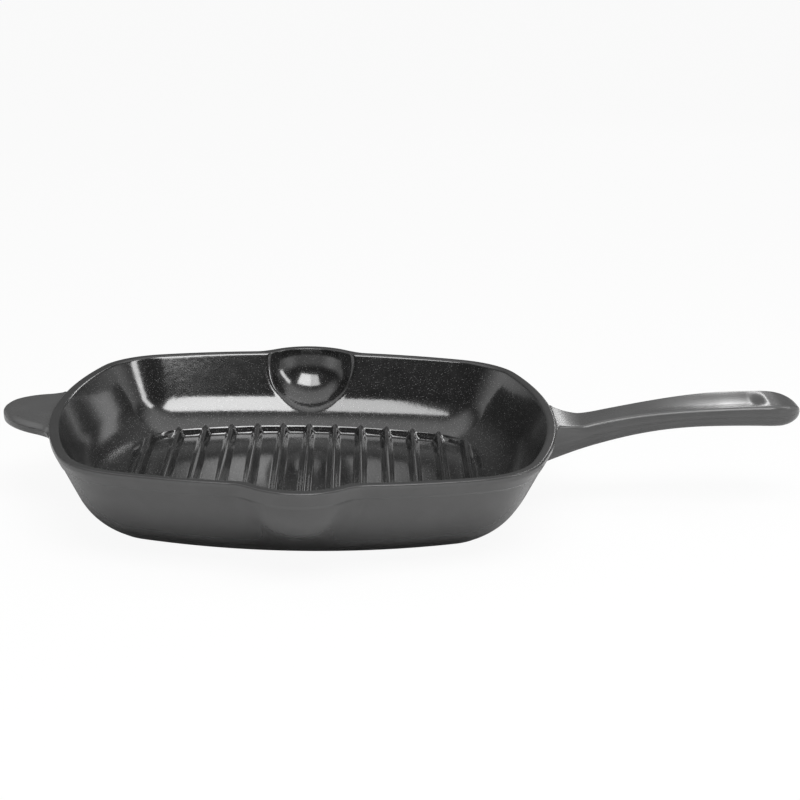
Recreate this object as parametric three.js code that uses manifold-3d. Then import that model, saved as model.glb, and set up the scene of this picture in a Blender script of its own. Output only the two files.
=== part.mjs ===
// Square grill pan, cast in iron and enamelled. The vessel has bowed sides, a banded rim and two
// pour spouts. Grill ribs stand in a sunken field on its floor, a long handle rises from one side
// and a helper tab stands out opposite. Millimetres, +Z up, +X along the long handle, with the
// origin at the centre of the flat base.
import * as THREE from "three";
import { mergeVertices } from "three/addons/utils/BufferGeometryUtils.js";
import Module from "manifold-3d";

const wasm = await Module();
wasm.setup();
const { clamp, degToRad, lerp, smoothstep } = THREE.MathUtils;

// Vessel
const rimWidth = 260; // across two opposite sides of the rim, spouts left out
const rimHeight = 45.5; // base to the top of the rim
const rimRound = 1.2; // rounding of both edges of the rim
const sideRadius = 284; // bow of each side, at the rim
const cornerRadius = 45.5; // corner at the rim
const heelCornerRadius = 8; // the same corner where it runs out on the base
const wallThickness = 4.8;
const wallDraft = degToRad(25.6); // lean of the wall from upright
const heelRadius = 39; // outside round from the wall to the base
const bandHeight = 7.6; // band round the outside of the rim
const bandLean = 2.3; // how far the band draws in from its top to its foot
const bandStep = 0.8; // how far the band stands proud of the wall

// Pour spouts, each a ball drawn in across and pressed out of the wall, with its centre at rim height
const spoutReach = 13; // lip past the side of the rim
const spoutBack = 21; // centre of the ball inside the side of the rim
const spoutRadius = 32; // outside of the ball
const spoutNarrow = 0.93; // width of that outside over its depth
const scoopRadius = 28; // inside of the ball
const scoopWide = 0.99; // width of that inside over its depth
const scoopDeep = 1.05; // height of that inside over its depth
const lipBlend = 6; // softness of the lip's run into the rim
const bulgeBlend = 8; // softness of the bulge's edge low on the wall
const scoopBlend = 2; // softness of the scoop's edge inside

// Sunken grill field and its ribs
const fieldInset = 30; // ends of the field from the near and far sides of the rim
const fieldSlope = 1.6; // run of the slope from those ends to the field's floor
const floorThickness = 4.7; // under the field
const ribPitch = 14.75;
const ribFoot = 6; // width where the rib meets the floor
const ribCrest = 3.6; // width across its rounded top
const ribProud = 0.9; // crest above the ends of the field
const ribMargin = 4.6; // last rib's middle to the side of the field

// Long handle, with stations measured outward from the side of the rim
const handleReach = 128; // to the tip
const rootDrop = 2.4; // top of the root below the rim
const rootDepth = 17.9; // root from its top to its underside
const rootRun = 13; // level stretch of the top before it climbs
const handleRise = 13; // climb of the top from the root to the grip
const climbStart = 4.4; // pull of the curve at the start of the climb
const climbEnd = 57.7; // pull of the curve where the grip levels out
const underSlope = 0.336; // climb of the underside at the root
const underStart = 57.3; // pull of the underside's curve at the root
const underEnd = 43.3; // pull of the underside's curve at the grip
const gripThickness = 11.1;
const gripWidth = 36;
const neckWidth = 25.5;
const neckStation = 30;
const gripStation = 92;
const rootFlare = 9.5; // each side of the root spreads by this into the wall
const flareRun = 24; // length of that spread
const rootRise = 1.6; // the top sweeps up by this into the rim
const handleEdge = 5; // width of the rounded edges
const tipRun = 13; // length over which the tip thins to its parting line
const dishDepth = 2.2; // thumb dish in the top of the grip
const dishStart = 26;
const dishFull = 84;
const dishEnd = 17; // from the dish's end to the tip
const dishFade = 9; // length over which the dish runs out

// Helper tab
const tabReach = 26; // to the tip of the tab
const tabRadius = 36.5; // round of its outline
const tabDrop = 1.4; // top of the tab below the rim, at its root
const tabLift = 1.6; // climb from there to the tip
const tabThickness = 5.7;
const tabBevel = 5; // width of the soft bevel round its top
const tabBevelDrop = 1.4;
const tabUnderRound = 2;
const tabFlare = 3;
const tabFlareRun = 7;

const seatGap = 0.3; // clearance where one cast member meets another

// Fineness of the facets
const spoutSteps = 22;
const flankSteps = 3;
const sideSteps = 8;
const cornerSteps = 7;
const roundSteps = 7;
const wallSteps = 4;
const edgeSteps = 4;
const topSteps = 8;
const stationStep = 5.5;
const tipSteps = 9;
const tipTurn = degToRad(87);

const satinEnamel = new THREE.MeshStandardMaterial({ color: 0x4c4c4c, roughness: 0.42, metalness: 0 });
const blackEnamel = new THREE.MeshStandardMaterial({ color: 0x191919, roughness: 0.22, metalness: 0 });

// Sizes that follow from the ones above
const rimHalf = rimWidth / 2;
const bandFoot = rimHeight - bandHeight;
const draftSlope = Math.tan(wallDraft);
const wallInset = (z) => bandLean + bandStep + (bandFoot - z) * draftSlope;
const liningInset = (z) => wallInset(z) + wallThickness / Math.cos(wallDraft);
const heelInset = wallInset(heelRadius) + heelRadius / Math.cos(wallDraft);
const coveRadius = heelRadius - wallThickness;
const rimLand = liningInset(rimHeight);
const spoutCentre = rimHalf - spoutBack;
const lipRadius = spoutBack + spoutReach;
const fieldEdge = heelRadius - Math.sqrt(coveRadius ** 2 - (heelInset - fieldInset) ** 2);
const fieldDepth = fieldEdge - floorThickness;
const ribRise = fieldDepth + ribProud;
const fieldFoot = fieldInset + fieldSlope;
const ribsEachSide = Math.floor((rimHalf - fieldFoot - ribMargin) / ribPitch);
const fieldHalf = ribsEachSide * ribPitch + ribMargin;

// The smaller of two distances, with the crease between them rounded over the width of the blend.
function softMin(a, b, blend) {
  const near = Math.max(blend - Math.abs(a - b), 0);
  return Math.min(a, b) - (near * near) / (4 * blend);
}

// How far out a spouted side stands at a place along it: wall and ball joined by a fillet.
function spoutDepth(wall, place, { z, ball, wide, deep, blend }) {
  const away = Math.hypot(place / wide, (rimHeight - z) / deep);
  let low = wall;
  let high = wall + rimHalf;
  while (high - low > 1e-4) {
    const out = (low + high) / 2;
    const fromWall = (out - wall) * Math.cos(wallDraft);
    const fromBall = Math.hypot(away, out - spoutCentre) - ball;
    if (softMin(fromWall, fromBall, blend) < 0) low = out;
    else high = out;
  }
  return low;
}

// Plan outline at an inset from the rim's side: four bowed sides joined by tangent corner arcs.
function outline(inset) {
  const half = rimHalf - inset;
  const side = (sideRadius * half) / rimHalf;
  const corner = cornerRadius + ((heelCornerRadius - cornerRadius) * inset) / heelInset;
  const sideCentre = half - side;
  const reach = side - corner;
  const cornerCentre = (sideCentre + Math.sqrt(2 * reach ** 2 - sideCentre ** 2)) / 2;
  const turn = Math.atan2(cornerCentre, cornerCentre - sideCentre);
  return { side, corner, sideCentre, cornerCentre, turn, end: side * Math.sin(turn) };
}

// Places along a side, close together where the spout is.
function sidePlaces(end, hasSpout) {
  const places = [];
  if (!hasSpout) {
    for (let i = 0; i <= sideSteps; i++) places.push(end * ((2 * i) / sideSteps - 1));
    return places;
  }
  const dense = Math.min(spoutRadius, 0.9 * end);
  for (let i = 0; i < flankSteps; i++) places.push(lerp(-end, -dense, i / flankSteps));
  for (let i = 0; i <= spoutSteps; i++) places.push(dense * ((2 * i) / spoutSteps - 1));
  for (let i = 1; i <= flankSteps; i++) places.push(lerp(dense, end, i / flankSteps));
  return places;
}

// One level ring of the vessel, counter-clockwise from above. The near and far sides bulge where
// the ball of the spout stands out past them.
function vesselRing(row) {
  const { side, corner, sideCentre, cornerCentre, turn, end } = outline(row.inset);
  const ring = [];
  for (let quarter = 0; quarter < 4; quarter++) {
    const along = new THREE.Vector2(1, 0).rotateAround(new THREE.Vector2(), (quarter * Math.PI) / 2);
    const out = new THREE.Vector2(along.y, -along.x);
    const put = (a, b) => {
      ring.push(new THREE.Vector3(along.x * a + out.x * b, along.y * a + out.y * b, row.z));
    };
    const hasSpout = quarter % 2 === 0;
    for (const place of sidePlaces(end, hasSpout)) {
      const wall = sideCentre + Math.sqrt(side ** 2 - place ** 2);
      put(place, hasSpout && row.ball ? spoutDepth(wall, place, row) : wall);
    }
    for (let i = 1; i < cornerSteps; i++) {
      const angle = lerp(turn, Math.PI / 2 - turn, i / cornerSteps);
      put(cornerCentre + corner * Math.sin(angle), cornerCentre + corner * Math.cos(angle));
    }
  }
  return ring;
}

// Closed body through rings that have the same number of points, with a fan over each end.
function loft(rings) {
  const count = rings[0].length;
  const middle = (ring) => ring.reduce((sum, p) => sum.add(p), new THREE.Vector3()).divideScalar(count);
  const points = [...rings.flat(), middle(rings[0]), middle(rings.at(-1))];
  const last = (rings.length - 1) * count;
  const faces = [];
  for (let j = 0; j < count; j++) {
    const next = (j + 1) % count;
    for (let row = 0; row < last; row += count) {
      faces.push(row + j, row + next, row + count + next);
      faces.push(row + j, row + count + next, row + count + j);
    }
    faces.push(last + count, next, j);
    faces.push(last + count + 1, last + j, last + next);
  }
  return new THREE.BufferGeometry().setFromPoints(points).setIndex(faces);
}

// Geometry to solid and back, for the cuts between members.
function solid(geometry) {
  const bare = geometry.clone();
  bare.deleteAttribute("normal");
  bare.deleteAttribute("uv");
  const merged = mergeVertices(bare);
  const vertProperties = merged.attributes.position.array;
  const triVerts = new Uint32Array(merged.index.array);
  return new wasm.Manifold(new wasm.Mesh({ numProp: 3, vertProperties, triVerts }));
}

function geometryOf(body) {
  const { vertProperties, triVerts } = body.getMesh();
  const position = new THREE.BufferAttribute(vertProperties, 3);
  return new THREE.BufferGeometry().setAttribute("position", position).setIndex([...triVerts]);
}

const steps = (count, place) => Array.from({ length: count + 1 }, (_, i) => place(i / count));

// Level rows up the outside of the vessel, from the flat base to the foot of the band.
function outsideRows() {
  const heel = steps(roundSteps, (t) => {
    const angle = lerp(Math.PI / 2, wallDraft, t);
    return { inset: heelInset - heelRadius * Math.cos(angle), z: heelRadius * (1 - Math.sin(angle)) };
  });
  const wall = steps(wallSteps, (t) => {
    const z = lerp(heel.at(-1).z, bandFoot, t);
    return { inset: wallInset(z), z };
  });
  return [...heel, ...wall.slice(1)].map((row) => {
    const blend = lerp(bulgeBlend, lipBlend, smoothstep(row.z, 0, bandFoot));
    return { ...row, ball: spoutRadius, wide: spoutNarrow, deep: 1, blend };
  });
}

// Rows over the band and the rim, from the foot of the band to the inner edge.
function rimRows() {
  const corner = rimRound * (1 - Math.SQRT1_2);
  const outer = (inset, z) => {
    const share = inset / rimLand;
    const ball = lerp(lipRadius, scoopRadius, share);
    return { inset, z, ball, wide: lerp(spoutNarrow, scoopWide, share), deep: 1, blend: lipBlend };
  };
  const inner = (inset, z) => ({ ...outer(inset, z), blend: scoopBlend });
  const foot = outer(bandLean, bandFoot + bandStep);
  return [
    { ...foot, ball: spoutRadius + bandStep, wide: spoutNarrow },
    outer(0, rimHeight - rimRound),
    outer(corner, rimHeight - corner),
    outer(rimRound, rimHeight),
    inner(rimLand - rimRound, rimHeight),
    inner(rimLand - corner, rimHeight - corner),
  ];
}

// Rows down the inside: straight wall, then the cove down to where it runs out level.
function insideRows() {
  const coveTop = heelRadius - coveRadius * Math.sin(wallDraft);
  const wall = steps(wallSteps, (t) => {
    const z = lerp(rimHeight - rimRound, coveTop, t);
    return { inset: liningInset(z), z };
  });
  const cove = steps(roundSteps, (t) => {
    const angle = lerp(wallDraft, Math.PI / 2, t);
    return { inset: heelInset - coveRadius * Math.cos(angle), z: heelRadius - coveRadius * Math.sin(angle) };
  });
  const scoop = { ball: scoopRadius, wide: scoopWide, deep: scoopDeep, blend: scoopBlend };
  return [...wall, ...cove.slice(1)].map((row) => ({ ...row, ...scoop }));
}

// Vessel as cast, with the sunken field cut into its floor and the foot of its cove.
function vesselGeometry() {
  const rows = [...outsideRows(), ...rimRows(), ...insideRows()];
  return geometryOf(solid(loft(rows.map(vesselRing))).subtract(fieldSpace(0, 0)));
}

// Everything inside the outer surface, grown by the seat gap, to cut the handle and the tab to it.
function vesselEnvelope() {
  const grow = (row) => ({ ...row, inset: row.inset - seatGap });
  const [foot, edge] = rimRows();
  const rows = [...outsideRows(), foot, edge, { ...edge, z: rimHeight }].map(grow);
  const below = { ...rows[0], z: -seatGap };
  const above = { ...rows.at(-1), z: rimHeight + handleRise };
  return solid(loft([below, ...rows, above].map(vesselRing)));
}

// The sunken field's space, drawn in by a clearance and carried on down by a depth. Its ends follow
// the bowed sides, and its sides run straight beside the last ribs.
function fieldSpace(clearance, depth) {
  const side = fieldHalf - clearance;
  const level = (height) => {
    const inset = fieldFoot - (fieldSlope * height) / fieldDepth + clearance;
    const ring = vesselRing({ inset, z: floorThickness + height });
    return ring.map((p) => p.setX(clamp(p.x, -side, side)));
  };
  return solid(loft([level(-depth), level(2 * fieldDepth)]));
}

// Section of a rib: tapered flanks under a rounded top.
function ribSection() {
  const section = new THREE.Shape();
  section.moveTo(-ribFoot / 2, 0);
  section.lineTo(ribFoot / 2, 0);
  section.lineTo(ribCrest / 2, ribRise / 2);
  section.absellipse(0, ribRise / 2, ribCrest / 2, ribRise / 2, 0, Math.PI, false, 0);
  return section;
}

function ribGeometry(x, space) {
  const bar = new THREE.ExtrudeGeometry(ribSection(), {
    depth: rimWidth,
    bevelEnabled: false,
    curveSegments: edgeSteps,
  });
  bar.translate(0, 0, -rimHalf);
  bar.rotateX(Math.PI / 2);
  bar.translate(x, 0, floorThickness);
  return geometryOf(solid(bar).intersect(space));
}

// Quarter of an ellipse as pairs of shares, from the side of a member to its flat.
const quarterRound = steps(edgeSteps, (t) => [Math.cos((t * Math.PI) / 2), Math.sin((t * Math.PI) / 2)]);

// Upright section across a handle or tab: rounded over to its top and under to its underside from
// the parting line, with a dish in the top.
function memberRing({ station, half, top, parting, under, edge, underEdge, dish = 0 }) {
  const place = (y, z) => new THREE.Vector3(rimHalf + station, y, z);
  const flip = (points) => points.map((p) => place(-p.y, p.z));
  const flat = half - edge;
  const upper = quarterRound.map(([a, b]) => place(flat + edge * a, parting + (top - parting) * b));
  const lower = quarterRound.map(([a, b]) => {
    return place(half - underEdge + underEdge * a, parting + (under - parting) * b);
  });
  const face = steps(topSteps, (t) => {
    const across = 1 - 2 * t;
    return place(flat * across, top - dish * (1 - across ** 2) ** 2);
  });
  const overTop = [...upper, ...face.slice(1, -1), ...flip(upper).reverse()];
  const below = [...flip(lower).slice(1), place(0, under), ...lower.slice(1).reverse()];
  return [...overTop, ...below];
}

// Stations of a member from inside the vessel's wall to its round end.
function memberStations(reach, endRadius) {
  const start = -wallInset(0);
  const straight = reach - endRadius;
  const count = Math.ceil((straight - start) / stationStep);
  const body = steps(count, (t) => lerp(start, straight, t));
  const end = steps(tipSteps, (t) => straight + endRadius * Math.sin(t * tipTurn));
  return [...body, ...end.slice(1)];
}

// Share of a half width or thickness that is left at a station inside a round end.
function endShare(station, reach, run) {
  const into = Math.max(station - (reach - run), 0) / run;
  return Math.sqrt(Math.max(1 - into ** 2, 0));
}

// Height of a curve over a station, carried on straight before the curve's start.
function heightOn(curve, station) {
  const start = curve.getPoint(0);
  if (station <= start.x) {
    const heading = curve.getTangent(0);
    return start.y + ((station - start.x) * heading.y) / heading.x;
  }
  let low = 0;
  let high = 1;
  while (high - low > 1e-6) {
    const share = (low + high) / 2;
    if (curve.getPoint(share).x < station) low = share;
    else high = share;
  }
  return curve.getPoint(low).y;
}

// What is left of a flare that dies out over a run from the wall.
const flareAt = (station, flare, run) => flare * Math.max(1 - Math.max(station, 0) / run, 0) ** 2;

// Long handle: level root, S-shaped climb, dished grip.
function handleGeometry(envelope) {
  const rootTop = rimHeight - rootDrop;
  const rootUnder = rootTop - rootDepth;
  const gripTop = rootTop + handleRise;
  const gripUnder = gripTop - gripThickness;
  const level = handleReach - tipRun;
  const topLine = new THREE.CubicBezierCurve(
    new THREE.Vector2(rootRun, rootTop),
    new THREE.Vector2(rootRun + climbStart, rootTop),
    new THREE.Vector2(level - climbEnd, gripTop),
    new THREE.Vector2(level, gripTop),
  );
  const underLine = new THREE.CubicBezierCurve(
    new THREE.Vector2(0, rootUnder),
    new THREE.Vector2(underStart, rootUnder + underStart * underSlope),
    new THREE.Vector2(level - underEnd, gripUnder),
    new THREE.Vector2(level, gripUnder),
  );
  const rings = memberStations(handleReach, gripWidth / 2).map((station) => {
    const width = lerp(neckWidth, gripWidth, smoothstep(station, neckStation, gripStation));
    const half = (width / 2) * endShare(station, handleReach, gripWidth / 2);
    const thin = endShare(station, handleReach, tipRun);
    const top = heightOn(topLine, station) + flareAt(station, rootRise, rootRun);
    const under = heightOn(underLine, station);
    const parting = (top + under) / 2;
    const dishIn = smoothstep(station, dishStart, dishFull);
    const dishOut = 1 - smoothstep(station, handleReach - dishEnd - dishFade, handleReach - dishEnd);
    const edge = Math.min(handleEdge, half / 2);
    const flare = flareAt(station, rootFlare, flareRun);
    return memberRing({
      station,
      half: half + flare,
      top: parting + (top - parting) * thin,
      parting,
      under: parting + (under - parting) * thin,
      edge,
      underEdge: edge + flare,
      dish: dishDepth * dishIn * dishOut,
    });
  });
  return geometryOf(solid(loft(rings)).subtract(envelope));
}

// Helper tab: a rounded plate with a soft bevel, made pointing along +X and turned about later.
function tabGeometry(envelope) {
  const rings = memberStations(tabReach, tabRadius).map((station) => {
    const half = tabRadius * endShare(station, tabReach, tabRadius);
    const parting = rimHeight - tabDrop - tabBevelDrop + (tabLift * station) / tabReach;
    return memberRing({
      station,
      half: half + flareAt(station, tabFlare, tabFlareRun),
      top: parting + tabBevelDrop * endShare(station, tabReach, tabBevel),
      parting,
      under: parting - (tabThickness - tabBevelDrop) * endShare(station, tabReach, tabUnderRound),
      edge: Math.min(tabBevel, half / 2),
      underEdge: Math.min(tabUnderRound, half / 2),
    });
  });
  return geometryOf(solid(loft(rings)).subtract(envelope));
}

function named(name, geometry, material) {
  geometry.computeVertexNormals();
  const mesh = new THREE.Mesh(geometry, material);
  mesh.name = name;
  return mesh;
}

const pan = new THREE.Group();
pan.name = "grill_pan";

pan.add(named("pan_body", vesselGeometry(), satinEnamel));

const field = fieldSpace(seatGap, ribRise);
for (let i = -ribsEachSide; i <= ribsEachSide; i++) {
  const number = String(i + ribsEachSide + 1).padStart(2, "0");
  pan.add(named(`grill_rib_${number}`, ribGeometry(i * ribPitch, field), blackEnamel));
}

const envelope = vesselEnvelope();
pan.add(named("long_handle", handleGeometry(envelope), satinEnamel));

const tab = named("helper_tab", tabGeometry(envelope), satinEnamel);
tab.rotation.z = Math.PI;
pan.add(tab);

export default pan;
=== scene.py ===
import bpy
import numpy as np
from mathutils import Matrix, Vector


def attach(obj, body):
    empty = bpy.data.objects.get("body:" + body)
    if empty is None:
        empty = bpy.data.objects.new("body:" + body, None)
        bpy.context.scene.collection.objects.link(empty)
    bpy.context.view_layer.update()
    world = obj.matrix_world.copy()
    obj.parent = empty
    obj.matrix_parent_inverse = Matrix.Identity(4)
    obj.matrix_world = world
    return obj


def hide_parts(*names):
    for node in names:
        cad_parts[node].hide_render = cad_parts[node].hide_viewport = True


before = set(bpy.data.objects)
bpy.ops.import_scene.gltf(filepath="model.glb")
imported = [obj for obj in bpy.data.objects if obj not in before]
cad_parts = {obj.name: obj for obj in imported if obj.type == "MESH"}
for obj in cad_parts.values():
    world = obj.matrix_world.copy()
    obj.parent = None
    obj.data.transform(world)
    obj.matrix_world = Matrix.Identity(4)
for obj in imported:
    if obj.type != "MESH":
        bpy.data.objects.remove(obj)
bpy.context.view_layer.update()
scene = bpy.context.scene
mm = 0.001


# 0 below lo, 1 above hi, an S-curve between with no kink at either end
def ease(value, lo, hi):
    t = np.clip((value - lo) / (hi - lo), 0, 1)
    return t * t * (3 - 2 * t)


# larger of two heights, plus (k - gap)^2 / 4k where they are closer than k, which rounds the crease
def softMax(a, b, k):
    return np.maximum(a, b) + np.maximum(k - np.abs(a - b), 0) ** 2 / (4 * k)


def softMin(a, b, k):
    return -softMax(-a, -b, k)


# quarter ellipse: 1 until the last run before reach, then down to 0 at reach
def endShare(s, reach, run):
    past = np.clip(s - (reach - run), 0, run) / run
    return np.sqrt(1 - past * past)


# point at share t on the curve from a to c that leaves and arrives along the lines through b
def bend(a, b, c, t):
    a, b, c = (np.asarray(p, float)[:, None] for p in (a, b, c))
    return a * (1 - t) ** 2 + 2 * b * t * (1 - t) + c * t**2


def makePiece(name, points, quads, triangles, finish, nodes, sharpAngle):
    mesh = bpy.data.meshes.new(name)
    quads, triangles = np.asarray(quads), np.asarray(triangles)
    corners = np.concatenate([quads.ravel(), triangles.ravel()]).astype(np.int32)
    starts = np.concatenate([np.arange(len(quads)) * 4, quads.size + np.arange(len(triangles)) * 3])
    mesh.vertices.add(len(points))
    mesh.vertices.foreach_set("co", (points * mm).astype(np.float32).ravel())
    mesh.loops.add(len(corners))
    mesh.loops.foreach_set("vertex_index", corners)
    mesh.polygons.add(len(starts))
    mesh.polygons.foreach_set("loop_start", starts.astype(np.int32))
    mesh.update(calc_edges=True)
    mesh.validate()
    mesh.shade_smooth()
    mesh.set_sharp_from_angle(angle=np.radians(sharpAngle))
    mesh.materials.append(finish)
    piece = bpy.data.objects.new(name, mesh)
    scene.collection.objects.link(piece)
    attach(piece, "root")
    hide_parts(*nodes)
    print(name, "made,", len(starts), "faces")


# quads between neighbouring rings of point numbers, each ring a closed loop
def ringQuads(rings):
    ahead = np.roll(rings, -1, axis=1)
    return np.stack([ahead[:-1], rings[:-1], rings[1:], ahead[1:]], axis=-1).reshape(-1, 4)


# triangles from a closed ring of point numbers to one middle point
def ringFan(ring, middle, outwards):
    ahead = np.roll(ring, -1)
    centre = np.full(len(ring), middle)
    return np.stack([ahead, ring, centre] if outwards else [ring, ahead, centre], axis=-1)


def grey(tone):
    return (tone, tone, tone, 1)


def addNode(nodes, kind, x, y, **values):
    node = nodes.new(kind)
    node.location = (x, y)
    for key, value in values.items():
        setattr(node, key, value)
    return node


# the enamel's tone ramp by height paints shade into its colour
shadeRampTop = 50  # mm, height at the end of the enamel's tone ramp
# shared by the enamels: limits of the clouds, hard core of a speck, spread of the gloss
grain = dict(cloudFrom=0.3, cloudTo=0.7, cloudDetail=4, speckCore=0.4, roughSpread=0.15, peelDetail=2)


# fired enamel: base colour clouded by a coarse noise, pale specks in cells of a Voronoi pattern,
# a share of the colour that changes with height, which paints shade in, and an orange-peel bump from a fine
# noise
def enamelFinish(name, look):
    finish = bpy.data.materials.new(name)
    finish.use_nodes = True
    nodes, links = finish.node_tree.nodes, finish.node_tree.links
    nodes.clear()
    out = addNode(nodes, "ShaderNodeOutputMaterial", 900, 0)
    shader = addNode(nodes, "ShaderNodeBsdfPrincipled", 600, 0)
    shader.inputs["IOR"].default_value = look["ior"]
    shader.inputs["Specular IOR Level"].default_value = look["gloss"]
    links.new(shader.outputs["BSDF"], out.inputs["Surface"])
    place = addNode(nodes, "ShaderNodeTexCoord", -900, 0)

    cloud = addNode(nodes, "ShaderNodeTexNoise", -650, 250)
    cloud.inputs["Scale"].default_value = 1 / (look["cloudSize"] * mm)
    cloud.inputs["Detail"].default_value = grain["cloudDetail"]
    links.new(place.outputs["Object"], cloud.inputs["Vector"])
    tone = addNode(nodes, "ShaderNodeValToRGB", -400, 250)
    tone.color_ramp.elements[0].position = grain["cloudFrom"]
    tone.color_ramp.elements[1].position = grain["cloudTo"]
    tone.color_ramp.elements[0].color = grey(look["dark"])
    tone.color_ramp.elements[1].color = grey(look["light"])
    links.new(cloud.outputs["Fac"], tone.inputs["Fac"])

    cells = addNode(nodes, "ShaderNodeTexVoronoi", -650, -100)
    cells.inputs["Scale"].default_value = 1 / (look["speckCell"] * mm)
    links.new(place.outputs["Object"], cells.inputs["Vector"])
    dot = addNode(nodes, "ShaderNodeMapRange", -400, -50)
    dot.inputs["From Min"].default_value = look["speckSize"]
    dot.inputs["From Max"].default_value = look["speckSize"] * grain["speckCore"]
    links.new(cells.outputs["Distance"], dot.inputs["Value"])
    pick = addNode(nodes, "ShaderNodeMapRange", -400, -300)
    pick.inputs["From Min"].default_value = 1 - look["speckShare"]
    links.new(cells.outputs["Color"], pick.inputs["Value"])
    speck = addNode(nodes, "ShaderNodeMath", -200, -150, operation="MULTIPLY")
    links.new(dot.outputs["Result"], speck.inputs[0])
    links.new(pick.outputs["Result"], speck.inputs[1])
    mix = addNode(nodes, "ShaderNodeMix", 0, 150, data_type="RGBA")
    mix.inputs["B"].default_value = grey(look["speckTone"])
    links.new(speck.outputs["Value"], mix.inputs["Factor"])
    links.new(tone.outputs["Color"], mix.inputs["A"])

    # painted shade: the base colour is multiplied by a grey ramp over the object's height
    height = addNode(nodes, "ShaderNodeSeparateXYZ", -650, 550)
    links.new(place.outputs["Object"], height.inputs["Vector"])
    level = addNode(nodes, "ShaderNodeMapRange", -450, 550)
    level.inputs["From Max"].default_value = shadeRampTop * mm
    links.new(height.outputs["Z"], level.inputs["Value"])
    shadeByHeight = addNode(nodes, "ShaderNodeValToRGB", -250, 550)
    shadeByHeight.color_ramp.interpolation = "EASE"
    stops = shadeByHeight.color_ramp.elements
    stops.remove(stops[1])
    for z, share in look["shadeByHeight"]:
        stops.new(z / shadeRampTop).color = grey(share)
    stops.remove(stops[0])
    links.new(level.outputs["Result"], shadeByHeight.inputs["Fac"])
    shaded = addNode(nodes, "ShaderNodeMix", 250, 250, data_type="RGBA", blend_type="MULTIPLY")
    shaded.inputs["Factor"].default_value = 1
    links.new(mix.outputs["Result"], shaded.inputs["A"])
    links.new(shadeByHeight.outputs["Color"], shaded.inputs["B"])
    links.new(shaded.outputs["Result"], shader.inputs["Base Color"])

    rough = addNode(nodes, "ShaderNodeMapRange", 0, -100)
    rough.inputs["To Min"].default_value = look["roughness"] * (1 - grain["roughSpread"])
    rough.inputs["To Max"].default_value = look["roughness"] * (1 + grain["roughSpread"])
    links.new(cloud.outputs["Fac"], rough.inputs["Value"])
    links.new(rough.outputs["Result"], shader.inputs["Roughness"])

    peel = addNode(nodes, "ShaderNodeTexNoise", -650, -450)
    peel.inputs["Scale"].default_value = 1 / (look["peelSize"] * mm)
    peel.inputs["Detail"].default_value = grain["peelDetail"]
    links.new(place.outputs["Object"], peel.inputs["Vector"])
    bump = addNode(nodes, "ShaderNodeBump", 300, -350)
    bump.inputs["Strength"].default_value = 1
    bump.inputs["Distance"].default_value = look["peelDepth"] * mm
    links.new(peel.outputs["Fac"], bump.inputs["Height"])
    links.new(bump.outputs["Normal"], shader.inputs["Normal"])
    return finish


satin = dict(
    dark=0.078, light=0.087, cloudSize=14, roughness=0.24, ior=1.5, gloss=0.45,
    speckCell=2.0, speckSize=0.10, speckShare=0.3, speckTone=0.10,
    peelSize=3.2, peelDepth=0.02,
)
black = dict(
    dark=0.012, light=0.018, cloudSize=7, roughness=0.13, ior=1.55, gloss=1.0,
    speckCell=0.7, speckSize=0.40, speckShare=0.5, speckTone=0.26,
    peelSize=3.0, peelDepth=0.03,
)
# share of the colour at heights in mm: painted shade darkens the outside towards the foot, and the top of
# the rim is darker
wallShadeShares = [(0, 0.12), (32, 1), (44.4, 1), (45.3, 0.5)]
evenShares = [(0, 1), (shadeRampTop, 1)]
shadedWallEnamel = enamelFinish("shadedWallEnamel", dict(satin, shadeByHeight=wallShadeShares))
limbEnamel = enamelFinish("limbEnamel", dict(satin, shadeByHeight=evenShares))
blackEnamel = enamelFinish("blackEnamel", dict(black, shadeByHeight=evenShares))
print("enamels mixed")


vessel = dict(
    rimHalf=130, rimHeight=45.5, rimRound=1.2, sideRadius=284, rimCorner=45.5, heelCorner=8,
    wall=4.8, draft=np.radians(25.6), heelRound=39, bandHeight=7.6, bandLean=2.3, bandStep=0.8,
    spoutReach=13, spoutBack=21, spoutBall=32, spoutNarrow=0.93,
    scoopBall=28, scoopWide=0.99, scoopDeep=1.05, lipBlend=6, bulgeBlend=8, scoopBlend=2,
)
rimHalf, rimHeight, draft = vessel["rimHalf"], vessel["rimHeight"], vessel["draft"]
bandFoot = rimHeight - vessel["bandHeight"]
stepInset = vessel["bandLean"] + vessel["bandStep"]
heelRound = vessel["heelRound"]
coveRound = heelRound - vessel["wall"]
spoutCentre = rimHalf - vessel["spoutBack"]
lipBall = vessel["spoutBack"] + vessel["spoutReach"]
scoopBall = vessel["scoopBall"]
halvings = dict(inset=34, spout=28)  # times an interval is halved to find a place on the wall


# outside and inside of the straight wall, measured in from the rim's side
def wallInset(z):
    return stepInset + (bandFoot - z) * np.tan(draft)


def liningInset(z):
    return wallInset(z) + vessel["wall"] / np.cos(draft)


heelInset = wallInset(heelRound) + heelRound / np.cos(draft)
rimLand = liningInset(rimHeight)


# plan of the pan at an inset: four bowed sides of one radius joined by tangent corner arcs
def planOutline(inset):
    half = rimHalf - inset
    side = vessel["sideRadius"] * half / rimHalf
    shrink = np.minimum(inset / heelInset, 1)
    corner = vessel["rimCorner"] + (vessel["heelCorner"] - vessel["rimCorner"]) * shrink
    sideCentre = half - side
    reach = side - corner
    cornerCentre = (sideCentre + np.sqrt(2 * reach**2 - sideCentre**2)) / 2
    turn = np.arctan2(cornerCentre, cornerCentre - sideCentre)
    return side, corner, sideCentre, cornerCentre, turn


# which part of the outline faces a point: 0 a near or far side, 1 a left or right side, 2 a corner
def facingPart(x, y, sideCentre, turn):
    x, y, lean = np.abs(x), np.abs(y), np.tan(turn)
    onNearFar = x <= (y - sideCentre) * lean
    onLeftRight = y <= (x - sideCentre) * lean
    return np.where(onNearFar & (y >= x), 0, np.where(onLeftRight & (x > y), 1, 2))


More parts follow.
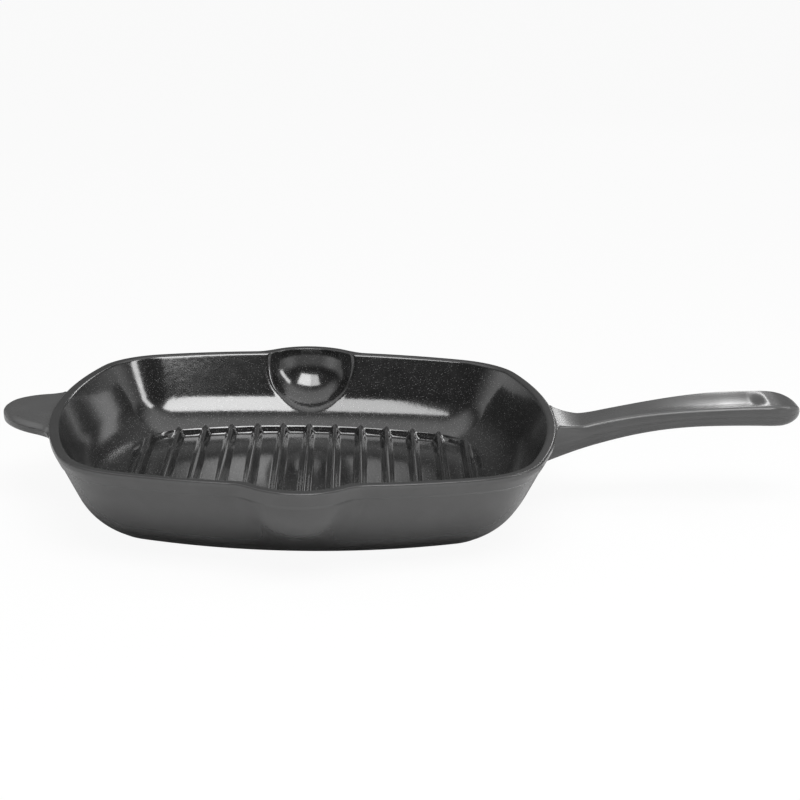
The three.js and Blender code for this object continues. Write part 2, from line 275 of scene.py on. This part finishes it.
# inset of the outline through each point, found by halving the interval
def insetAt(x, y):
    low, high = np.zeros(np.shape(x)), np.full(np.shape(x), heelInset)
    for _ in range(halvings["inset"]):
        inset = (low + high) / 2
        side, corner, sideCentre, cornerCentre, turn = planOutline(inset)
        part = facingPart(x, y, sideCentre, turn)
        nearFar = np.hypot(x, np.abs(y) - sideCentre) - side
        leftRight = np.hypot(np.abs(x) - sideCentre, y) - side
        diagonal = np.hypot(np.abs(x) - cornerCentre, np.abs(y) - cornerCentre) - corner
        outside = np.choose(part, [nearFar, leftRight, diagonal]) > 0
        high, low = np.where(outside, inset, high), np.where(outside, low, inset)
    return (low + high) / 2


# height of the cove above an inset: a round about the same centre as the heel outside
def coveHeight(inset):
    return heelRound - np.sqrt(coveRound**2 - np.maximum(heelInset - inset, 0) ** 2)


field = dict(
    floor=4.7, inset=30, slope=1.5, half=93.1, foot=0.9, edge=0.7, sideSlope=1.1,
    pitch=14.75, ribs=6, crest=9.6, crestHalf=0.75, flank=2.1, crestRound=1.5, fillet=1.0,
    bound=25.5, halfSpan=95, columns=311, endRows=34, middleRows=20, endBand=0.14,
)


# floor of the pan: lower of cove and sunken field, upper of that and the nearest rib, creases rounded
def floorHeight(x, y):
    inset = insetAt(x, y)
    foot = field["inset"] + field["slope"]
    steep = (coveHeight(field["inset"]) - field["floor"]) / field["slope"]
    sunk = softMax(field["floor"] + (foot - inset) * steep, field["floor"], field["foot"])
    sideRise = field["floor"] + (np.abs(x) - field["half"]) * field["sideSlope"]
    sunk = softMax(sunk, sideRise, field["foot"])
    low = softMin(coveHeight(inset), sunk, field["edge"])
    nearest = np.clip(np.round(x / field["pitch"]), -field["ribs"], field["ribs"])
    away = np.abs(x - nearest * field["pitch"])
    flank = field["crest"] - (away - field["crestHalf"]) * field["flank"]
    rib = softMin(flank, field["crest"], field["crestRound"])
    return softMax(low, rib, field["fillet"])


# floor grid: columns run front to back at equal x, rows crowd towards the ends of the field,
# and each column ends on the outline at the bound: a near or far side, a corner arc, a left or right side
across = np.linspace(-field["halfSpan"], field["halfSpan"], field["columns"])
side, corner, sideCentre, cornerCentre, turn = planOutline(field["bound"])
fromMiddle = np.abs(across)
ontoNearFar = sideCentre + np.sqrt(side**2 - fromMiddle**2)
ontoCorner = cornerCentre + np.sqrt(np.maximum(corner**2 - (fromMiddle - cornerCentre) ** 2, 0))
ontoLeftRight = np.sqrt(side**2 - (fromMiddle - sideCentre) ** 2)
reachIn = np.select(
    [fromMiddle <= side * np.sin(turn), fromMiddle <= cornerCentre + corner * np.cos(turn)],
    [ontoNearFar, ontoCorner], ontoLeftRight,
)
endPart = np.linspace(0, field["endBand"], field["endRows"])
middlePart = np.linspace(field["endBand"] - 1, 1 - field["endBand"], field["middleRows"] + 2)[1:-1]
along = np.concatenate([endPart - 1, middlePart, 1 - endPart[::-1]])
floorX = np.broadcast_to(across, (len(along), len(across)))
floorY = along[:, None] * reachIn[None, :]
floorZ = floorHeight(floorX, floorY)
floorPoints = np.stack([floorX, floorY, floorZ], axis=-1)
floorIndex = np.arange(floorX.size).reshape(floorX.shape)
floorEdge = np.concatenate([
    floorIndex[0], floorIndex[1:, -1], floorIndex[-1, -2::-1], floorIndex[-2:0:-1, 0],
])
boundX, boundY = floorX.ravel()[floorEdge], floorY.ravel()[floorEdge]
boundInset = insetAt(boundX, boundY)
print("floor field laid out,", floorX.shape, "points, edge", len(floorEdge))

# each point of the floor's edge keeps its place along its side or corner all the way up the wall
edgeSide, _, edgeCentre, edgeCornerCentre, edgeTurn = planOutline(boundInset)
edgePart = facingPart(boundX, boundY, edgeCentre, edgeTurn)
edgeEnd = edgeSide * np.sin(edgeTurn)
cornerAngle = np.arctan2(np.abs(boundX) - edgeCornerCentre, np.abs(boundY) - edgeCornerCentre)
edgeShare = np.choose(edgePart, [
    boundX / edgeEnd, boundY / edgeEnd, (cornerAngle - edgeTurn) / (np.pi / 2 - 2 * edgeTurn),
])
signX, signY = np.where(boundX < 0, -1, 1), np.where(boundY < 0, -1, 1)


# how far out a spouted side stands: distances from the wall and from a stretched ball centred at rim
# height, joined by a soft minimum, which is zero at the depth found by halving the interval
def spoutDepth(wall, place, z, ball, wide, deep, blend):
    away = np.hypot(place / wide, (rimHeight - z) / deep)
    low, high = wall, wall + rimHalf
    for _ in range(halvings["spout"]):
        out = (low + high) / 2
        fromBall = np.hypot(away, out - spoutCentre) - ball
        inside = softMin((out - wall) * np.cos(draft), fromBall, blend) < 0
        low, high = np.where(inside, out, low), np.where(inside, high, out)
    return np.where(ball > 0, low, wall)


# rings of the vessel: the outline at each inset, bulged on the near and far sides by the spouts
def vesselRings(inset, z, ball, wide, deep, blend):
    inset, z, ball, wide, deep, blend = np.broadcast_arrays(*(
        v if np.ndim(v) == 2 else np.reshape(v, (-1, 1)) for v in (inset, z, ball, wide, deep, blend)
    ))
    side, corner, sideCentre, cornerCentre, turn = planOutline(inset)
    place = edgeShare * side * np.sin(turn)
    wall = sideCentre + np.sqrt(np.maximum(side**2 - place**2, 0))
    lip = spoutDepth(wall, place, z, ball, wide, deep, blend)
    angle = turn + edgeShare * (np.pi / 2 - 2 * turn)
    cornerX = cornerCentre + corner * np.sin(angle)
    cornerY = cornerCentre + corner * np.cos(angle)
    part = np.broadcast_to(edgePart, place.shape)
    x = np.choose(part, [place, signX * wall, signX * cornerX])
    y = np.choose(part, [signY * lip, place, signY * cornerY])
    return np.stack([x, y, np.broadcast_to(z, x.shape)], axis=-1)


# rows as inset, height, ball with its width and depth, and blend, stacked from top to bottom of the list
def rows(inset, z, ball, wide, deep, blend):
    return np.stack(np.broadcast_arrays(*np.atleast_1d(inset, z, ball, wide, deep, blend))).astype(float)


# rows over the rim: the ball goes from the lip's size and narrowing outside to the scoop's inside
def rimRows(inset, z, blend):
    share = np.clip(np.asarray(inset) / rimLand, 0, 1)
    ball = lipBall + (scoopBall - lipBall) * share
    wide = vessel["spoutNarrow"] + (vessel["scoopWide"] - vessel["spoutNarrow"]) * share
    return rows(inset, z, ball, wide, 1, blend)


lining = dict(
    edgeRows=9, splitRow=4, wallRows=28, coveRows=21, hiddenWallRows=9, hiddenCoveRows=7,
    skin=0.4, iron=0.8, underInsets=[28.6, 38, 60, 95], sharpAngle=60,
)
rimRound = vessel["rimRound"]
innerEdge = bend(
    (rimLand - rimRound, rimHeight), (rimLand, rimHeight),
    (liningInset(rimHeight - rimRound), rimHeight - rimRound), np.linspace(0, 1, lining["edgeRows"]),
)
split = lining["splitRow"]  # row of the rim's inner edge where the black enamel meets the satin
coveTop = heelRound - coveRound * np.sin(draft)
wallZ = np.linspace(rimHeight - rimRound, coveTop, lining["wallRows"])
edgeLip = vessel["scoopBlend"]
scoopShape = vessel["scoopWide"], vessel["scoopDeep"]


# rows that run under the lining at a depth, from the rim down to a level sheet under the field
def hiddenRows(depth):
    ball = scoopBall + depth
    z = np.linspace(rimHeight - 2 * rimRound, coveTop, lining["hiddenWallRows"])
    straight = rows(liningInset(z) - depth / np.cos(draft), z, ball, *scoopShape, edgeLip)
    lastTurn = np.arccos((heelInset - field["bound"]) / coveRound)
    turn = np.linspace(draft, lastTurn, lining["hiddenCoveRows"])[1:]
    inwards, down = (coveRound + depth) * np.cos(turn), (coveRound + depth) * np.sin(turn)
    curve = rows(heelInset - inwards, heelRound - down, ball, *scoopShape, edgeLip)
    under = rows(lining["underInsets"], field["floor"] - depth, 0, 1, 1, edgeLip)
    return np.concatenate([straight, curve, under], axis=1)


# lining: floor grid, then rings up cove and wall to the rim, then its own underside back to the middle
coveInset = liningInset(coveTop) + (boundInset - liningInset(coveTop)) * (
    np.linspace(1, 0, lining["coveRows"])[1:, None]
)
coveBall = np.full((len(coveInset), 1), scoopBall)
coveRings = vesselRings(coveInset, coveHeight(coveInset), coveBall, *scoopShape, edgeLip)
wallRings = vesselRings(liningInset(wallZ[-2::-1]), wallZ[-2::-1], scoopBall, *scoopShape, edgeLip)
edgeRings = vesselRings(*rimRows(*innerEdge[:, -2:split - 1:-1], edgeLip))
backRings = vesselRings(*hiddenRows(lining["skin"]))
liningRings = np.concatenate([coveRings, wallRings, edgeRings, backRings])
liningMiddle = [[0, 0, field["floor"] - lining["skin"]]]
liningPoints = np.concatenate([floorPoints.reshape(-1, 3), liningRings.reshape(-1, 3), liningMiddle])
ringIndex = floorX.size + np.arange(liningRings.shape[0] * len(floorEdge)).reshape(-1, len(floorEdge))
floorQuads = np.stack([
    floorIndex[:-1, :-1], floorIndex[:-1, 1:], floorIndex[1:, 1:], floorIndex[1:, :-1],
], axis=-1).reshape(-1, 4)
liningQuads = np.concatenate([floorQuads, ringQuads(np.concatenate([floorEdge[None], ringIndex]))])
ribNodes = ["grill_rib_%02d" % i for i in range(1, 2 * field["ribs"] + 2)]
makePiece(
    "ribbedLining", liningPoints, liningQuads, ringFan(ringIndex[-1], len(liningPoints) - 1, True),
    blackEnamel, ["pan_body", *ribNodes], lining["sharpAngle"],
)

# iron shell: under the lining to the rim, over the rim and band, down the wall and heel to the base.
# The band's values are insets and heights in mm of its rounded top and of the turn and hollow at its foot
band = dict(
    roundTop=1.35, topInset=0.06, leanLeft=0.3, turnInset=2.3, turnRise=0.7,
    crossInset=2.72, crossRise=0.35, hollowInset=3.15, hollowDrop=0.7, ballRise=0.8,
)
shell = dict(
    landRows=6, edgeRows=8, bandRows=6, turnRows=6, wallRows=18, heelRows=30,
    baseInsets=[70, 105], sharpAngle=60,
)
softLip = vessel["lipBlend"]
landInset = np.linspace(innerEdge[0][0], rimRound, shell["landRows"])
landBlend = np.linspace(edgeLip, softLip, shell["landRows"])
bandTop, hollowFoot = rimHeight - band["roundTop"], bandFoot - band["hollowDrop"]
outerEdge = bend(
    (rimRound, rimHeight), (0, rimHeight), (band["topInset"], bandTop),
    np.linspace(0, 1, shell["edgeRows"])[1:],
)
bandZ = np.linspace(bandTop, bandFoot + band["roundTop"], shell["bandRows"])[1:]
bandShare = (bandZ[0] - bandZ) / (bandZ[0] - bandZ[-1])
bandFaceInset = band["topInset"] + (vessel["bandLean"] - band["leanLeft"]) * bandShare
crossing = band["crossInset"], bandFoot + band["crossRise"]
turnSteps = np.linspace(0, 1, shell["turnRows"])[1:]
bandTurn = bend(
    (bandFaceInset[-1], bandZ[-1]), (band["turnInset"], bandFoot + band["turnRise"]), crossing, turnSteps,
)
bandHollow = bend(crossing, (band["hollowInset"], bandFoot), (wallInset(hollowFoot), hollowFoot), turnSteps)
heelTop = heelRound * (1 - np.sin(draft))
outZ = np.linspace(hollowFoot, heelTop, shell["wallRows"])[1:]
heelTurn = np.linspace(draft, np.pi / 2, shell["heelRows"])[1:]
heelIn, heelZ = heelInset - heelRound * np.cos(heelTurn), heelRound * (1 - np.sin(heelTurn))


# blend of the spout with the wall, softer towards the foot of the wall
def bulgeSoft(z):
    return vessel["bulgeBlend"] + (softLip - vessel["bulgeBlend"]) * ease(z, 0, bandFoot)


bandInset = np.concatenate([bandFaceInset, bandTurn[0], bandHollow[0]])
bandHeights = np.concatenate([bandZ, bandTurn[1], bandHollow[1]])
bulge, narrow = vessel["spoutBall"], vessel["spoutNarrow"]
bandBall = np.interp(
    bandHeights, [hollowFoot, bandFoot + band["ballRise"], bandTop],
    [bulge, bulge + vessel["bandStep"], lipBall],
)
shellRows = np.concatenate([
    hiddenRows(lining["iron"])[:, ::-1],
    rimRows(*innerEdge[:, split:0:-1], edgeLip),
    rimRows(landInset, rimHeight, landBlend),
    rimRows(*outerEdge, softLip),
    rows(bandInset, bandHeights, bandBall, narrow, 1, softLip),
    rows(wallInset(outZ), outZ, bulge, narrow, 1, bulgeSoft(outZ)),
    rows(heelIn, heelZ, bulge, narrow, 1, bulgeSoft(heelZ)),
    rows(shell["baseInsets"], 0, 0, 1, 1, softLip),
], axis=1)
shellRings = vesselRings(*shellRows)
shellMiddles = [[0, 0, field["floor"] - lining["iron"]], [0, 0, 0]]
shellPoints = np.concatenate([shellRings.reshape(-1, 3), shellMiddles])
shellIndex = np.arange(shellRings.shape[0] * len(floorEdge)).reshape(-1, len(floorEdge))
shellFans = np.concatenate([
    ringFan(shellIndex[0], len(shellPoints) - 2, False),
    ringFan(shellIndex[-1], len(shellPoints) - 1, True),
])
makePiece(
    "ironShell", shellPoints, ringQuads(shellIndex), shellFans,
    shadedWallEnamel, ["pan_body"], shell["sharpAngle"],
)


# shared by handle and tab: steps round an edge in radians, lengths in mm
limb = dict(
    firstAngles=[0, 0.045, 0.1], angleFrom=0.2, angles=11, middlePoints=25, curveSteps=400,
    nubWidth=4, shearRun=30, shearTop=1, poleGap=0.012, sharpAngle=40,
)


# superellipse quarter: share of the way in from the edge and share of the height, for angles 0 to 90
def edgeRound(angles, power):
    return 1 - np.cos(angles) ** (2 / power), np.sin(angles) ** (2 / power)


# share of the wall's slope that a station is sheared by: all at the wall, none past the run
def rootShear(s):
    return np.maximum(1 - s / limb["shearRun"], 0) ** 2


# share that is 1 at the wall and falls to 0 at the run along a parabola
def rootFade(s, run):
    return np.maximum(1 - np.maximum(s, 0) / run, 0) ** 2


# cast limb: at each station a top and an under side that meet at a parting line on both edges.
# Each side rises as a superellipse over its edge width and is flat or dished between the edges.
# A station is sheared so that its root lies in the drafted wall. Returns rings of a closed body.
def limbRings(stations, half, parting, top, under, topEdge, underEdge, topPower, underPower, dish, ridge):
    angles = np.concatenate([
        limb["firstAngles"], np.linspace(limb["angleFrom"], np.pi / 2, limb["angles"]),
    ])
    middle = np.linspace(-1, 1, limb["middlePoints"])[1:-1]
    topIn, topUp = edgeRound(angles, topPower)
    underIn, underUp = edgeRound(angles, underPower)
    h, p, t, u = (v[:, None] for v in (half, parting, top, under))
    te, ue, d = (v[:, None] for v in (topEdge, underEdge, dish))
    topLeft = -(h - te * topIn)
    topMiddle = middle * (h - te)
    topAcross = np.concatenate([topLeft, topMiddle, -topLeft[:, ::-1]], axis=1)
    topRise = np.concatenate([topUp, np.ones(len(middle)), topUp[::-1]])
    hollow = d * (1 - (topAcross / np.maximum(h, 1e-6)) ** 2) ** 2
    topHeight = p + (t - p) * topRise - hollow
    underRight = h - ue * underIn
    underMiddle = -middle * (h - ue)
    underAcross = np.concatenate([underRight, underMiddle, -underRight[:, ::-1]], axis=1)[:, 1:-1]
    underRise = np.concatenate([underUp, np.ones(len(middle)), underUp[::-1]])[1:-1]
    underHeight = p - (p - u) * underRise
    side = np.concatenate([topAcross, underAcross], axis=1)
    height = np.concatenate([topHeight, underHeight], axis=1)
    nub = np.zeros(side.shape[1])
    nub[0], nub[topAcross.shape[1] - 1] = -ridge, ridge
    side = side + nub * np.minimum(h / limb["nubWidth"], 1)
    inwards = wallInset(np.minimum(height, rimHeight - limb["shearTop"])) * rootShear(stations)[:, None]
    return np.stack([rimHalf + stations[:, None] - inwards, side, height], axis=-1)


# fillet of radius r beside a wall: r at the wall, 0 from r outwards
def wallFillet(s, r):
    gap = np.clip(r - s, 0, r)
    return r - np.sqrt(np.maximum(r * r - gap * gap, 0))


# height over run of a Bezier curve through four control points, carried on straight before its start
def curveHeight(s, points):
    t = np.linspace(0, 1, limb["curveSteps"])
    weights = np.stack([(1 - t) ** 3, 3 * t * (1 - t) ** 2, 3 * t * t * (1 - t), t**3])
    run, height = np.asarray(points, float).T @ weights
    start = (height[1] - height[0]) / (run[1] - run[0])
    return np.where(s < run[0], height[0] + (s - run[0]) * start, np.interp(s, run, height))


# closed body from a limb's rings, with a fan of triangles to a middle point at either end
def closeLimb(name, rings, node, finish):
    count = rings.shape[1]
    points = np.concatenate([rings.reshape(-1, 3), [rings[0].mean(axis=0), rings[-1].mean(axis=0)]])
    index = np.arange(rings.shape[0] * count).reshape(-1, count)
    ends = np.concatenate([
        ringFan(index[0], len(points) - 2, False), ringFan(index[-1], len(points) - 1, True),
    ])
    makePiece(name, points, ringQuads(index), ends, finish, [node], limb["sharpAngle"])


handle = dict(
    reach=128, tipRun=13, roundRun=18, neck=25.5, grip=36, neckAt=30, gripAt=92,
    rootFlare=9.5, flareRun=24, rootRise=1.6, riseRun=13, fillet=1.5, sunk=2.4,
    topLine=[(13, 43.1), (17.4, 43.1), (57.3, 56.1), (115, 56.1)],
    underLine=[(0, 25.2), (57.3, 44.45), (71.7, 45.0), (115, 45.0)],
    topEdge=3.2, underEdge=5.5, topPower=2.6, underPower=2.6, ridge=0.22,
    dish=2.2, dishStart=26, dishFull=84, dishEnd=102, dishOut=111,
    rootRun=6, rootStations=15, neckStations=84, tipStations=46, settle=5,
)
reach, roundRun = handle["reach"], handle["roundRun"]
tipTurn = np.linspace(0, np.pi / 2 - limb["poleGap"], handle["tipStations"])
stations = np.concatenate([
    np.linspace(-handle["sunk"], handle["rootRun"], handle["rootStations"])[:-1],
    np.linspace(handle["rootRun"], reach - roundRun, handle["neckStations"])[:-1],
    reach - roundRun * (1 - np.sin(tipTurn)),
])
widening = ease(stations, handle["neckAt"], handle["gripAt"])
width = handle["neck"] + (handle["grip"] - handle["neck"]) * widening
flare = handle["rootFlare"] * rootFade(stations, handle["flareRun"])
handleFillet = wallFillet(stations, handle["fillet"])
gripHalf = width / 2 * endShare(stations, reach, roundRun) + flare + handleFillet
levelEnd, levelTop = handle["topLine"][0]
topLine = np.where(stations < levelEnd, levelTop, curveHeight(stations, handle["topLine"]))
topLine = topLine + handle["rootRise"] * rootFade(stations, handle["riseRun"])
underLine = curveHeight(stations, handle["underLine"])
for _ in range(handle["settle"]):  # the shear moves the under side, so its height is read where it ends up
    moved = stations - wallInset(underLine) * rootShear(stations)
    underLine = curveHeight(moved, handle["underLine"]) - handleFillet
partLine = (topLine + underLine) / 2
thin = endShare(stations, reach, handle["tipRun"])
topLine = partLine + (topLine - partLine) * thin
underLine = partLine + (underLine - partLine) * thin
dishLine = handle["dish"] * ease(stations, handle["dishStart"], handle["dishFull"])
dishLine = dishLine * (1 - ease(stations, handle["dishEnd"], handle["dishOut"]))
closeLimb("longHandle", limbRings(
    stations, gripHalf, partLine, topLine, underLine,
    np.minimum(handle["topEdge"], gripHalf / 2), np.minimum(handle["underEdge"] + flare, gripHalf / 2),
    handle["topPower"], handle["underPower"], dishLine, handle["ridge"],
), "long_handle", limbEnamel)


tab = dict(
    reach=26, radius=36.5, drop=1.4, lift=1.6, thickness=5.7, ridge=-0.3,
    bevel=5, bevelDrop=1.9, bevelPower=1.3, underRound=2, underPower=2.6,
    flare=3, flareRun=7, fillet=1, sunk=2.4, tabStations=60,
)
tabTurn = np.linspace(0, np.pi / 2 - limb["poleGap"], tab["tabStations"])
tabStart = -tab["sunk"]
tabStations = tabStart + (tab["reach"] - tabStart) * np.sin(tabTurn)
tabPart = rimHeight - tab["drop"] - tab["bevelDrop"] + tab["lift"] * tabStations / tab["reach"]
tabTop = tabPart + tab["bevelDrop"] * endShare(tabStations, tab["reach"], tab["bevel"])
tabFillet = wallFillet(tabStations, tab["fillet"])
underRise = endShare(tabStations, tab["reach"], tab["underRound"])
tabUnder = tabPart - (tab["thickness"] - tab["bevelDrop"]) * underRise
tabHalf = tab["radius"] * endShare(tabStations, tab["reach"], tab["radius"]) + tabFillet
tabHalf = tabHalf + tab["flare"] * rootFade(tabStations, tab["flareRun"])
tabRings = limbRings(
    tabStations, tabHalf, tabPart, tabTop, tabUnder - tabFillet,
    np.minimum(tab["bevel"], tabHalf / 2), np.minimum(tab["underRound"], tabHalf / 2),
    tab["bevelPower"], tab["underPower"], np.zeros(len(tabStations)), tab["ridge"],
)
tabRings[..., :2] *= -1  # turned half round to the other side of the pan
closeLimb("helperTab", tabRings, "helper_tab", limbEnamel)


# stage: pale floor that shows white, with a share of the true lit floor left in so the shadow stays.
# Reflections see mostly the true floor, shadow and all, so the pan's foot stays dark
stage = dict(halfSize=6, drop=0.0002, tone=0.75, whiteSeen=0.93, whiteMirrored=0.01)
wide, deep = np.array([-1, 1, 1, -1]) * stage["halfSize"], np.array([-1, -1, 1, 1]) * stage["halfSize"]
floorMesh = bpy.data.meshes.new("studioFloor")
floorMesh.from_pydata(np.stack([wide, deep, np.full(4, -stage["drop"])], axis=1), [], [(0, 1, 2, 3)])
studioFloor = bpy.data.objects.new("studioFloor", floorMesh)
scene.collection.objects.link(studioFloor)
paleFloor = bpy.data.materials.new("paleFloor")
paleFloor.use_nodes = True
nodes, links = paleFloor.node_tree.nodes, paleFloor.node_tree.links
nodes.clear()
matt = addNode(nodes, "ShaderNodeBsdfDiffuse", 0, 0)
matt.inputs["Color"].default_value = grey(stage["tone"])
white = addNode(nodes, "ShaderNodeEmission", 0, -150)
path = addNode(nodes, "ShaderNodeLightPath", -600, 300)
mirrored = addNode(nodes, "ShaderNodeMath", -400, 300, operation="MULTIPLY")
mirrored.inputs[1].default_value = stage["whiteMirrored"]
links.new(path.outputs["Is Glossy Ray"], mirrored.inputs[0])
through = addNode(nodes, "ShaderNodeMath", -200, 300, operation="MULTIPLY_ADD")
through.inputs[1].default_value = stage["whiteMirrored"]
links.new(path.outputs["Is Transmission Ray"], through.inputs[0])
links.new(mirrored.outputs["Value"], through.inputs[2])
share = addNode(nodes, "ShaderNodeMath", 0, 300, operation="MULTIPLY_ADD")
share.inputs[1].default_value = stage["whiteSeen"]
links.new(path.outputs["Is Camera Ray"], share.inputs[0])
links.new(through.outputs["Value"], share.inputs[2])
blend = addNode(nodes, "ShaderNodeMixShader", 250, 0)
links.new(share.outputs["Value"], blend.inputs["Fac"])
links.new(matt.outputs["BSDF"], blend.inputs[1])
links.new(white.outputs["Emission"], blend.inputs[2])
floorOut = addNode(nodes, "ShaderNodeOutputMaterial", 450, 0)
links.new(blend.outputs["Shader"], floorOut.inputs["Surface"])
floorMesh.materials.append(paleFloor)

# room: dim walls, a broad light overhead that reaches back but not forward, and a pale screen low down
# in front and at each side. Each fades between two limits of the direction along one axis
studio = dict(
    walls=0.1, overhead=0.9, frontScreen=0.5, rightScreen=0.5, leftScreen=0.6, backdrop=0.95,
    overheadFade=(0.5, 0.8), rearFade=(-0.25, 0.1), frontFade=(-0.6, -0.2),
    rightFade=(0.5, 0.85), leftFade=(-0.8, -0.4), lowFade=(0.3, 0.5),
)
room = bpy.data.worlds.new("studioRoom")
room.use_nodes = True
nodes, links = room.node_tree.nodes, room.node_tree.links
background = nodes["Background"]
heading = addNode(nodes, "ShaderNodeTexCoord", -900, 0)
axes = addNode(nodes, "ShaderNodeSeparateXYZ", -700, 0)
links.new(heading.outputs["Generated"], axes.inputs["Vector"])


# smooth change of brightness along one axis of the room
def roomFade(axis, y, limits, first, last):
    fade = addNode(nodes, "ShaderNodeMapRange", -450, y, interpolation_type="SMOOTHSTEP")
    for key, value in zip(("From Min", "From Max", "To Min", "To Max"), (*limits, first, last)):
        fade.inputs[key].default_value = value
    links.new(axes.outputs[axis], fade.inputs["Value"])
    return fade.outputs["Result"]


def roomMath(operation, x, y, first, second):
    step = addNode(nodes, "ShaderNodeMath", x, y, operation=operation)
    links.new(first, step.inputs[0])
    links.new(second, step.inputs[1])
    return step.outputs["Value"]


above = roomFade("Z", 500, studio["overheadFade"], studio["walls"], studio["overhead"])
rearward = roomFade("Y", 200, studio["rearFade"], studio["walls"], 1)
front = roomFade("Y", -100, studio["frontFade"], studio["frontScreen"], 0)
right = roomFade("X", -400, studio["rightFade"], 0, studio["rightScreen"])
left = roomFade("X", -700, studio["leftFade"], studio["leftScreen"], 0)
lowPart = roomFade("Z", -1000, studio["lowFade"], 1, 0)
overhead = roomMath("MULTIPLY", -200, 300, above, rearward)
sides = roomMath("ADD", -200, -500, right, left)
screens = roomMath("MULTIPLY", 50, -500, roomMath("ADD", -100, -300, front, sides), lowPart)
light = roomMath("ADD", 200, 0, overhead, screens)
path = addNode(nodes, "ShaderNodeLightPath", 0, 700)
seen = addNode(nodes, "ShaderNodeMath", 200, 700, operation="MULTIPLY")  # white past the floor
seen.inputs[1].default_value = studio["backdrop"]
links.new(path.outputs["Is Camera Ray"], seen.inputs[0])
links.new(roomMath("MAXIMUM", 400, 0, light, seen.outputs["Value"]), background.inputs["Strength"])
background.inputs["Color"].default_value = (1, 1, 1, 1)
background.location, nodes["World Output"].location = (600, 0), (800, 0)
scene.world = room


# softbox: flat lamp at a place in metres that looks at a point, its brightness given per area
def softbox(name, place, aim, width, height, brightness):
    lamp = bpy.data.lights.new(name, "AREA")
    lamp.shape, lamp.size, lamp.size_y = "RECTANGLE", width, height
    lamp.energy = brightness * np.pi * width * height
    box = bpy.data.objects.new(name, lamp)
    box.location = place
    box.rotation_mode = "QUATERNION"
    box.rotation_quaternion = (Vector(aim) - Vector(place)).to_track_quat("-Z", "Y")
    scene.collection.objects.link(box)


lamps = dict(
    keyBox=dict(place=(0.28, -0.56, 1.05), aim=(0.28, -0.56, 0), width=0.60, height=0.74, brightness=7.5),
    leftBox=dict(place=(-0.22, -0.53, 1.05), aim=(-0.22, -0.53, 0), width=0.38, height=0.66, brightness=5.0),
    rightBox=dict(place=(0.85, 0.05, 0.58), aim=(0.1, 0, 0), width=0.16, height=0.50, brightness=6.0),
    gripBox=dict(place=(0.462, 1.45, 0.65), aim=(0.2, 0, 0.05), width=0.08, height=0.70, brightness=5.0),
)
for name, lamp in lamps.items():
    softbox(name, **lamp)

# camera about 15 degrees above the horizon, a little right of the pan's middle
camera = bpy.data.cameras.new("photoCamera")
camera.lens, camera.sensor_width = 89.14, 36  # mm
view = bpy.data.objects.new("photoCamera", camera)
view.matrix_world = Matrix((
    (0.99955401, -0.01703973, -0.024524, 0.0239),
    (-0.01924225, 0.26050269, -0.96528135, -0.9955),
    (0.0228367, 0.96532274, 0.26005863, 0.3200),
    (0, 0, 0, 1),
))
scene.collection.objects.link(view)
scene.camera = view
scene.view_settings.view_transform = "Standard"
print("studio lit")
